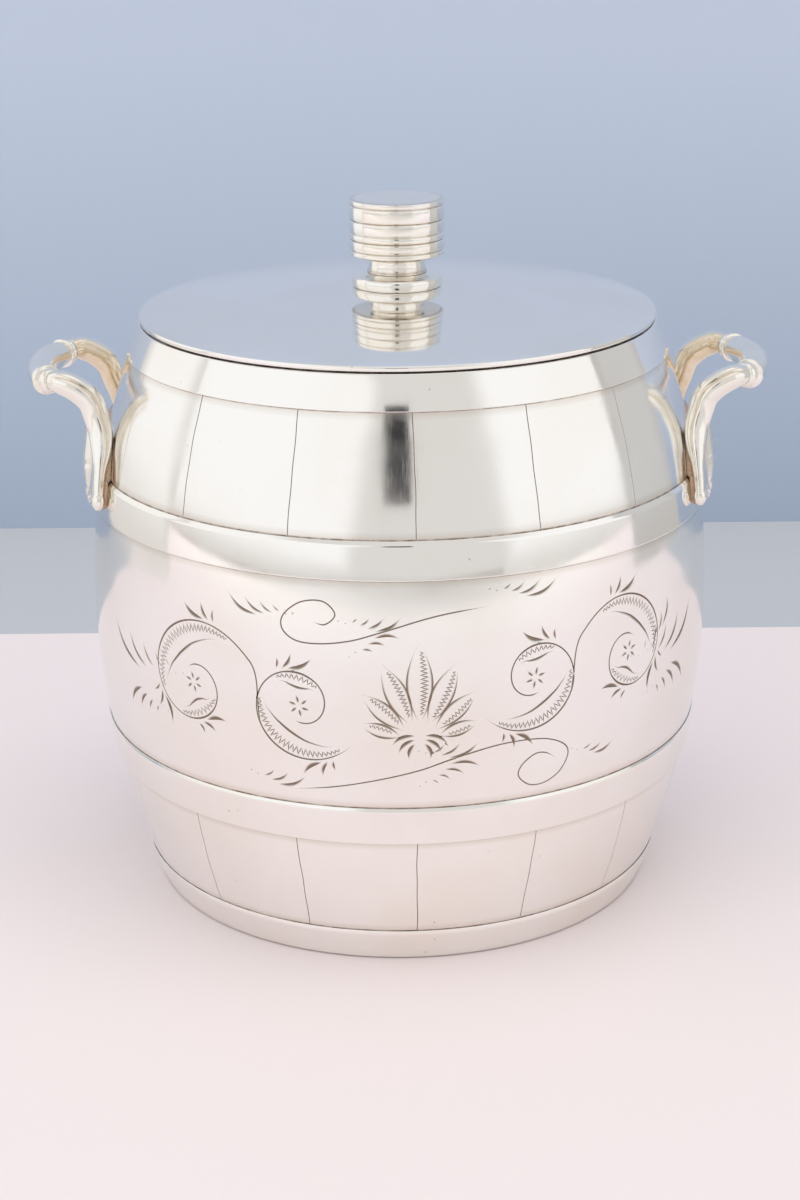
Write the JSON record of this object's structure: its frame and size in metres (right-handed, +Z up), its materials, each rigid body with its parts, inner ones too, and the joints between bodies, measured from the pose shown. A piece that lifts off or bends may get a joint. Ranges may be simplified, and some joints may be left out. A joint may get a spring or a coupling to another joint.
{
  "type": "biscuit barrel",
  "caption": "Barrel-shaped biscuit box in silver plate with hoops, a lift-off domed lid with a turned drum knob, and two cast side handles.",
  "frame": {"origin": "on the table, under the middle of the barrel", "axes": "+Z up out of the mouth, +X towards the right handle, -Y towards the front"},
  "size_m": [0.1774, 0.15, 0.1676],
  "materials": {
    "silver_plate": "mirror-polished silver plate, engraved, with fine scratches and a warm tone in the lines",
    "warm_silver": "polished silver plate worn warm, golden in the recesses",
    "plain_brass": "turned brass, unplated"
  },
  "bodies": {
    "barrel": {"barrel_wall": "silver_plate", "base_plate": "silver_plate", "foot_hoop": "silver_plate", "lower_hoop": "silver_plate", "upper_hoop": "silver_plate", "top_hoop": "silver_plate", "right_grip": "warm_silver", "right_leaf": "warm_silver", "right_front_arm": "warm_silver", "right_rear_arm": "warm_silver", "right_front_collar": "warm_silver", "right_rear_collar": "warm_silver", "right_front_bead": "warm_silver", "right_rear_bead": "warm_silver", "left_grip": "warm_silver", "left_leaf": "warm_silver", "left_front_arm": "warm_silver", "left_rear_arm": "warm_silver", "left_front_collar": "warm_silver", "left_rear_collar": "warm_silver", "left_front_bead": "warm_silver", "left_rear_bead": "warm_silver"},
    "lid": {"lid_plate": "silver_plate", "lid_bezel": "silver_plate", "knob": "warm_silver", "knob_foot": "warm_silver", "knob_stud": "plain_brass", "knob_washer": "plain_brass", "knob_nut": "plain_brass"}
  },
  "joints": [
    {"name": "lid_lift", "type": "slide", "parent": "barrel", "child": "lid", "axis": [0, 0, 1], "range_m": [0, 0.08]}
  ]
}
